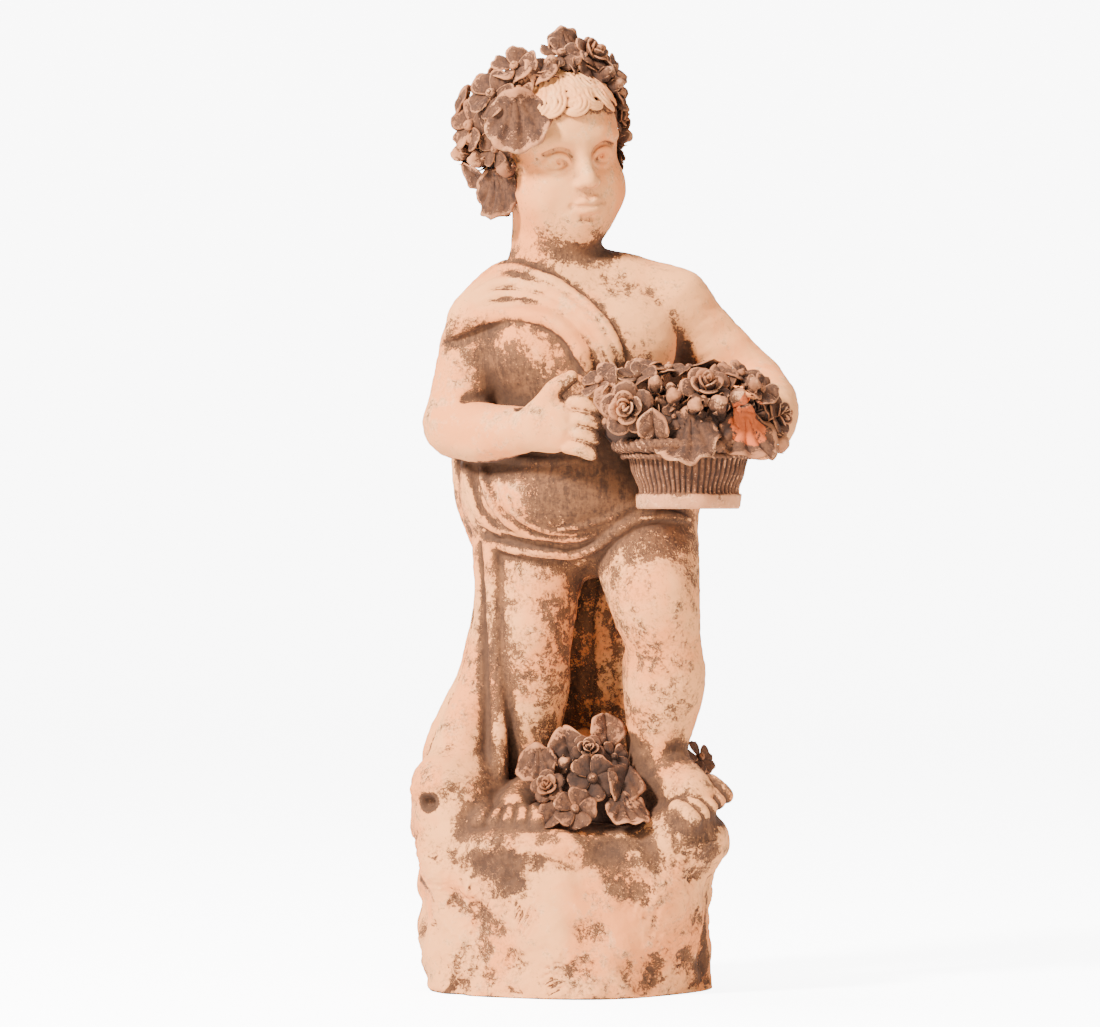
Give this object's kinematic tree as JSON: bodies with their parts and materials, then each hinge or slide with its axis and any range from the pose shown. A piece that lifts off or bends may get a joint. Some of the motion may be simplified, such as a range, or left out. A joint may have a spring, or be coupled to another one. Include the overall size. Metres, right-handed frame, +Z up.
{
  "type": "statue",
  "caption": "Fired-clay statue of a small boy in a flower wreath and a draped cloak, holding a basket of flowers on a rough mound.",
  "frame": {"origin": "middle of the mound's flat underside", "axes": "+Z up; the boy faces -Y; his left hand and the basket are towards +X"},
  "size_m": [0.2985, 0.2765, 0.7455],
  "materials": {
    "terracotta": "matt fired clay under a worn pale pink wash, with brown clay showing through and umber dirt in the hollows"
  },
  "bodies": {
    "root": {"boy_with_flower_basket": "terracotta"}
  },
  "joints": []
}
